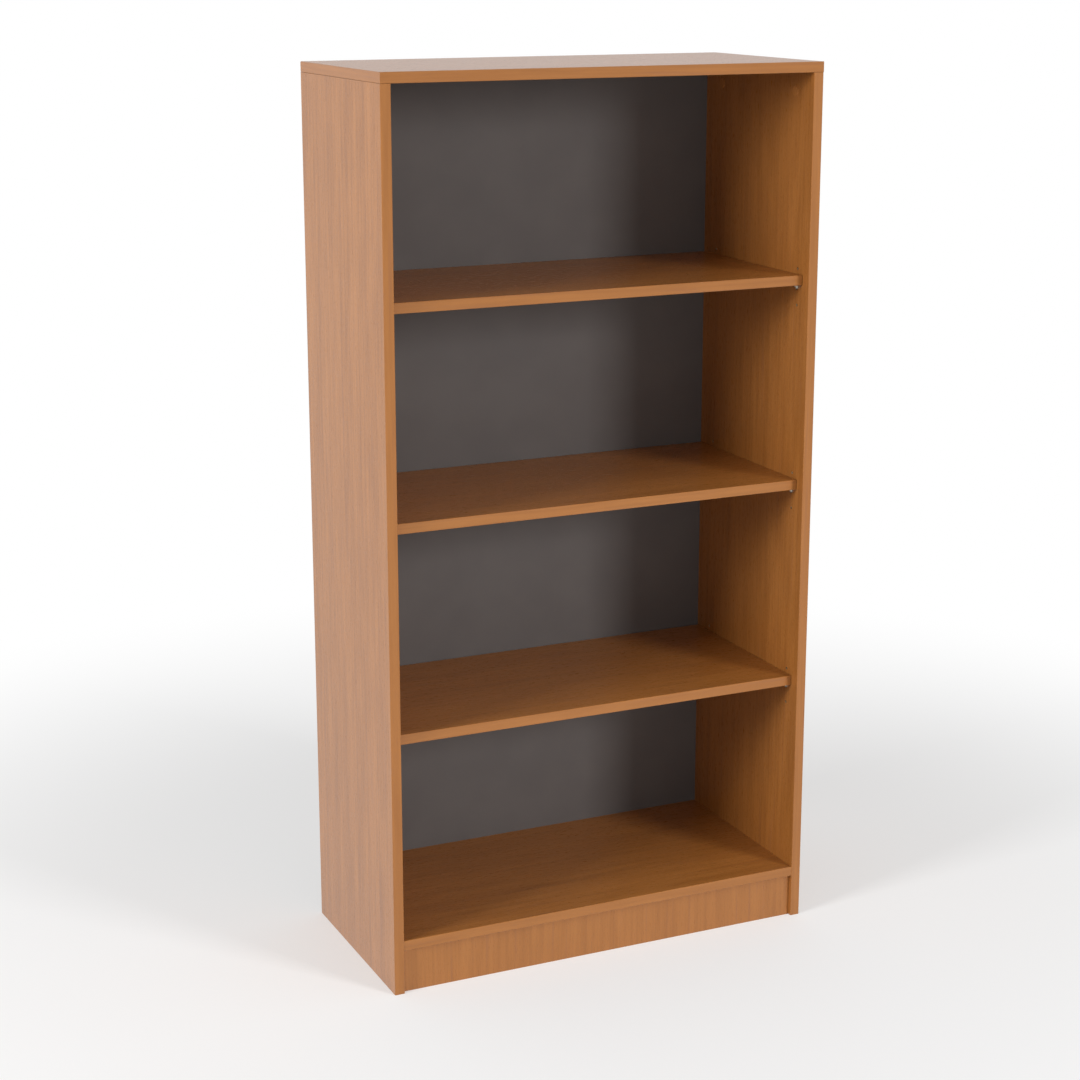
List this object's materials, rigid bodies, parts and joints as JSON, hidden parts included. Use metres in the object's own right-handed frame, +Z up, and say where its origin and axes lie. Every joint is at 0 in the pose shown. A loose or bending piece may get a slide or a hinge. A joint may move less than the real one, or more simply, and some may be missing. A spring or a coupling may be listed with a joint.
{
  "type": "shelving unit",
  "caption": "Tall open bookcase of wood-decor boards with a plinth, a dark grey back panel and loose shelves on plug-in supports.",
  "frame": {"origin": "on the floor, at the middle of the unit's footprint", "axes": "+X to the right as seen from the front, +Y to the back, +Z up"},
  "size_m": [0.8, 0.375, 1.55],
  "materials": {
    "decor_board": "satin wood-grain decor on particle board",
    "edging": "satin edging strip in the boards' colour",
    "back_board": "matt dark grey paint on hardboard",
    "nickel_plate": "satin nickel plate on steel",
    "die_cast_zinc": "matt die-cast zinc",
    "dowel_wood": "raw fluted beech",
    "cap_plastic": "matt plastic in the boards' colour",
    "zinc_plate": "bright zinc plate on steel"
  },
  "bodies": {
    "case": {"left_side": "decor_board", "right_side": "decor_board", "top_panel": "decor_board", "bottom_panel": "decor_board", "plinth": "decor_board", "back_panel": "back_board", "left_side_edging": "edging", "right_side_edging": "edging", "top_front_edging": "edging", "top_left_edging": "edging", "top_right_edging": "edging", "bottom_panel_edging": "edging", "upper_shelf_supports": "nickel_plate", "middle_shelf_supports": "nickel_plate", "lower_shelf_supports": "nickel_plate", "top_cams": "die_cast_zinc", "top_cam_bolts": "nickel_plate", "top_dowels": "dowel_wood", "cam_caps": "cap_plastic", "bottom_cams": "die_cast_zinc", "bottom_cam_bolts": "nickel_plate", "bottom_dowels": "dowel_wood", "plinth_cams": "die_cast_zinc", "plinth_cam_bolts": "nickel_plate", "plinth_end_dowels": "dowel_wood", "plinth_top_dowels": "dowel_wood", "back_panel_screws": "zinc_plate"},
    "upper_shelf": {"upper_shelf": "decor_board", "upper_shelf_edging": "edging"},
    "middle_shelf": {"middle_shelf": "decor_board", "middle_shelf_edging": "edging"},
    "lower_shelf": {"lower_shelf": "decor_board", "lower_shelf_edging": "edging"}
  },
  "joints": [
    {"name": "upper_shelf_slide", "type": "slide", "parent": "case", "child": "upper_shelf", "axis": [0, -1, 0], "range_m": [0, 0.375]},
    {"name": "middle_shelf_slide", "type": "slide", "parent": "case", "child": "middle_shelf", "axis": [0, -1, 0], "range_m": [0, 0.375]},
    {"name": "lower_shelf_slide", "type": "slide", "parent": "case", "child": "lower_shelf", "axis": [0, -1, 0], "range_m": [0, 0.375]}
  ]
}
